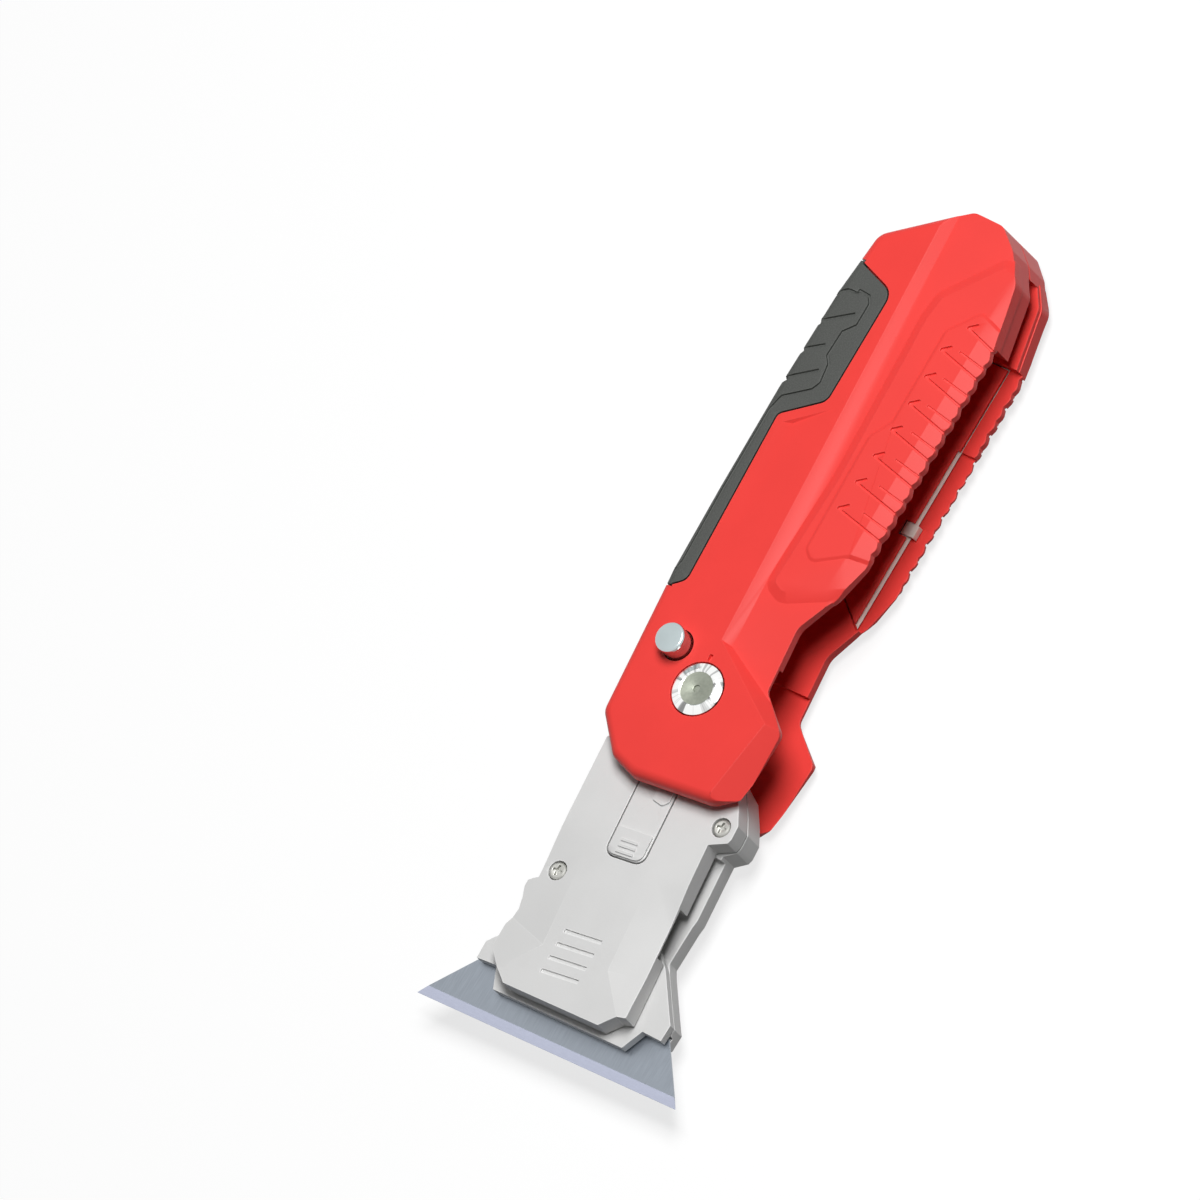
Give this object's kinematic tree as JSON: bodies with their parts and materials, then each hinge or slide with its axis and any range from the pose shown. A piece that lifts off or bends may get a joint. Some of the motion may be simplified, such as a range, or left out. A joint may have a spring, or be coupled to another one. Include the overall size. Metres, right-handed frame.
{
  "type": "folding utility knife",
  "caption": "Folding scraper knife: red two-shell handle with rubber spine insets, lock button and pivot, and a cast head that clamps a trapezoid blade across its end.",
  "frame": {"origin": "on the face that the knife lies on, under the middle of its bounding box", "axes": "+X from the butt towards the blade's edge, +Y from the spine towards the belly, +Z from the rear face towards the lock button"},
  "size_m": [0.1714, 0.061, 0.024],
  "materials": {
    "red_plastic": "satin moulded red",
    "grip_rubber": "matt dark grey",
    "bright_metal": "polished",
    "washer_brass": "plain",
    "steel": "plain",
    "cast_metal": "satin cast",
    "blade_steel": "ground"
  },
  "bodies": {
    "handle": {"front_shell": "red_plastic", "rear_shell": "red_plastic", "front_grip": "grip_rubber", "rear_grip": "grip_rubber", "pivot_bolt": "bright_metal", "pivot_nut": "bright_metal", "front_washer": "washer_brass", "rear_washer": "washer_brass", "shell_screw_1": "steel", "shell_screw_2": "steel", "shell_screw_3": "steel", "shell_screw_4": "steel", "lock_spring": "steel", "spare_blade": "blade_steel", "store_clip": "steel", "store_cover": "red_plastic"},
    "button": {"lock_button": "bright_metal", "lock_plunger": "steel"},
    "head": {"head_frame": "cast_metal", "head_cover": "cast_metal", "blade_holder": "cast_metal", "head_screw_left": "steel", "head_screw_right": "steel", "locating_pin_1": "steel", "locating_pin_2": "steel", "slider_spring": "steel"},
    "slider": {"release_slider": "cast_metal", "latch_pin_1": "steel", "latch_pin_2": "steel"},
    "fitted_blade": {"blade": "blade_steel"}
  },
  "joints": [
    {"name": "head_fold", "type": "hinge", "parent": "handle", "child": "head", "pos_m": [0.0158, -0.00395, 0], "axis": [0, 0, 1], "range_deg": [0, 150]},
    {"name": "lock_press", "type": "slide", "parent": "handle", "child": "button", "axis": [0, 0, -1], "range_m": [0, 0.0024], "stiffness_N_per_m": 600, "deforming": ["lock_spring"]},
    {"name": "release_slide", "type": "slide", "parent": "head", "child": "slider", "axis": [-0.996, -0.0889, 0], "range_m": [0, 0.004], "stiffness_N_per_m": 400, "deforming": ["slider_spring"]},
    {"name": "blade_out", "type": "slide", "parent": "head", "child": "fitted_blade", "axis": [1, 0, 0], "range_m": [0, 0.02]}
  ]
}
